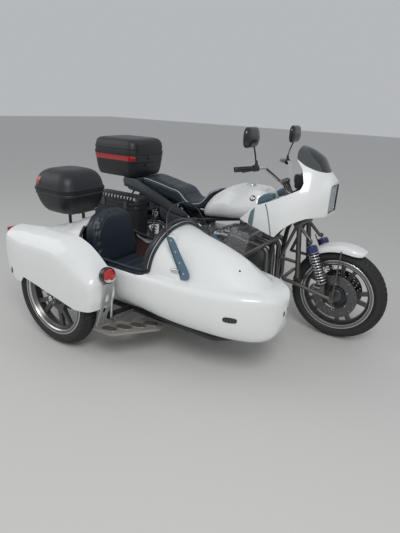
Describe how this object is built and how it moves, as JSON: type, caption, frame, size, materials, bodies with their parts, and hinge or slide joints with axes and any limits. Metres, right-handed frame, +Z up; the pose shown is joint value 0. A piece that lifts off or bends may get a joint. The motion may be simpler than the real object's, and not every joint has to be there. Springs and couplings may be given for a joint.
{
  "type": "sidecar motorcycle",
  "caption": "Road motorcycle with half fairing and a leading-link fork, joined to a boat-shaped passenger sidecar with its own wheel, luggage box and footboard.",
  "frame": {"origin": "centre of the bounding box on the ground", "axes": "+X forward, +Y to the left of the rider, +Z up; the sidecar is on the right"},
  "size_m": [2.3979, 1.7, 1.3658],
  "materials": {
    "white_paint": "glossy white paint over moulded glass fibre and steel",
    "black_frame": "semi-gloss black frame paint",
    "silver_wheel": "grey cast alloy, machined rim edge",
    "tyre": "road tyre rubber",
    "chrome": "bright chrome",
    "brushed": "brushed steel",
    "cast_alloy": "cast alloy",
    "black_plastic": "grained black plastic",
    "gloss_black": "glossy black plastic",
    "leather": "black vinyl leather",
    "clear": "clear acrylic",
    "lamp_red": "red lens",
    "lamp_clear": "clear lens",
    "mirror": "mirror glass in a black shell",
    "rubber": "black rubber"
  },
  "bodies": {
    "outfit": {"motorcycle_frame": "black_frame", "engine_block": "cast_alloy", "engine_cylinders": "cast_alloy", "carburettors": "cast_alloy", "exhaust": "chrome", "swing_arm": "black_frame", "rear_shocks": "chrome", "rear_mudguard": "black_plastic", "fairing_shell": "white_paint", "fairing_screen": "clear", "headlight": "lamp_clear", "instrument_panel": "black_plastic", "fuel_tank": "white_paint", "seat": "leather", "tail_cowl": "white_paint", "side_panels": "white_paint", "top_box_base": "black_plastic", "sidecar_box_base": "black_plastic", "right_pannier_base": "black_plastic", "left_pannier_base": "black_plastic", "luggage_racks": "black_frame", "box_posts": "black_frame", "boat_shell": "white_paint", "sidecar_seat": "leather", "sidecar_chassis": "black_frame", "connecting_struts": "black_frame", "lower_links": "black_frame", "sidecar_swing_arm": "black_frame", "sidecar_fender": "white_paint", "fender_stays": "black_frame", "signal_lamps": "lamp_red", "footboard": "cast_alloy", "footboard_pads": "rubber", "footboard_bracket": "cast_alloy", "sidecar_screen": "clear", "screen_brackets": "brushed", "cockpit_trim": "leather"},
    "steering": {"fork": "black_frame", "fork_link": "black_frame", "fork_shocks": "chrome", "front_calipers": "cast_alloy", "front_mudguard": "white_paint", "handlebar": "black_frame", "handlebar_controls": "rubber", "mirrors": "mirror"},
    "front_wheel_body": {"front_wheel": "silver_wheel", "front_tyre": "tyre"},
    "rear_wheel_body": {"rear_wheel": "silver_wheel", "rear_tyre": "tyre"},
    "sidecar_wheel_body": {"sidecar_wheel": "silver_wheel", "sidecar_tyre": "tyre"},
    "top_box_lid_body": {"top_box_lid": "gloss_black"},
    "sidecar_box_lid_body": {"sidecar_box_lid": "gloss_black"},
    "right_pannier_lid_body": {"right_pannier_lid": "black_plastic"},
    "left_pannier_lid_body": {"left_pannier_lid": "black_plastic"}
  },
  "joints": [
    {"name": "steering_turn", "type": "hinge", "parent": "outfit", "child": "steering", "pos_m": [0.546, 0.398, 0.74], "axis": [-0.4524, 0, 0.8918], "range_deg": [-30, 30]},
    {"name": "front_wheel_spin", "type": "hinge", "parent": "steering", "child": "front_wheel_body", "pos_m": [0.881, 0.398, 0.318], "axis": [0, 1, 0], "continuous": true},
    {"name": "rear_wheel_spin", "type": "hinge", "parent": "outfit", "child": "rear_wheel_body", "pos_m": [-0.649, 0.398, 0.318], "axis": [0, 1, 0], "continuous": true},
    {"name": "sidecar_wheel_spin", "type": "hinge", "parent": "outfit", "child": "sidecar_wheel_body", "pos_m": [-0.539, -0.772, 0.318], "axis": [0, 1, 0], "continuous": true},
    {"name": "top_box_hinge", "type": "hinge", "parent": "outfit", "child": "top_box_lid_body", "pos_m": [-0.752, 0.398, 1.076], "axis": [0, 1, 0], "range_deg": [0, 85]},
    {"name": "sidecar_box_hinge", "type": "hinge", "parent": "outfit", "child": "sidecar_box_lid_body", "pos_m": [-0.652, -0.362, 0.906], "axis": [0, 1, 0], "range_deg": [0, 85]},
    {"name": "right_pannier_hinge", "type": "hinge", "parent": "outfit", "child": "right_pannier_lid_body", "pos_m": [-0.819, 0.027, 0.731], "axis": [1, 0, 0], "range_deg": [0, 80]},
    {"name": "left_pannier_hinge", "type": "hinge", "parent": "outfit", "child": "left_pannier_lid_body", "pos_m": [-0.819, 0.769, 0.731], "axis": [-1, 0, 0], "range_deg": [0, 80]}
  ]
}
